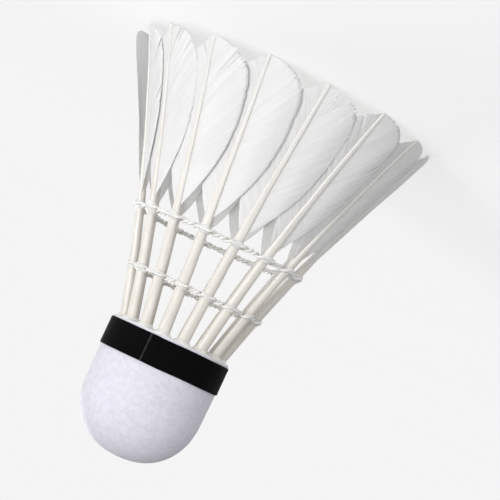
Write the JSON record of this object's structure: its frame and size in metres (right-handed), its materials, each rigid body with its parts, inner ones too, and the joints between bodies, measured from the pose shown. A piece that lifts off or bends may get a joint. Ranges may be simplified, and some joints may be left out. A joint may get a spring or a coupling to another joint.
{
  "type": "badminton shuttlecock",
  "caption": "Feather shuttlecock with a leather-covered cork base, a black ribbon and a flared skirt of overlapping white feathers bound by threads.",
  "frame": {"origin": "centre of the circle of feather tips, in the plane the shuttlecock stands on", "axes": "+Z along the axis of symmetry from the feather tips to the rounded nose of the base; +X and -Y look midway between two feathers"},
  "size_m": [0.0668, 0.0668, 0.0853],
  "materials": {
    "leather": "white kid leather, satin, finely grained",
    "cork": "natural cork, matt",
    "ribbon": "black woven tape, slight satin sheen",
    "glue": "dried clear-white glue",
    "thread": "white twisted thread stiffened with glue",
    "feather": "white goose feather: ivory horn-like quill, silky barbed vane"
  },
  "bodies": {
    "root": {"leather_cover": "leather", "cork_nose": "cork", "cork_crown": "cork", "ribbon_band": "ribbon", "glue_ring": "glue", "thread_lower": "thread", "thread_upper": "thread", "feather_01": "feather", "feather_02": "feather", "feather_03": "feather", "feather_04": "feather", "feather_05": "feather", "feather_06": "feather", "feather_07": "feather", "feather_08": "feather", "feather_09": "feather", "feather_10": "feather", "feather_11": "feather", "feather_12": "feather", "feather_13": "feather", "feather_14": "feather", "feather_15": "feather", "feather_16": "feather"}
  },
  "joints": []
}
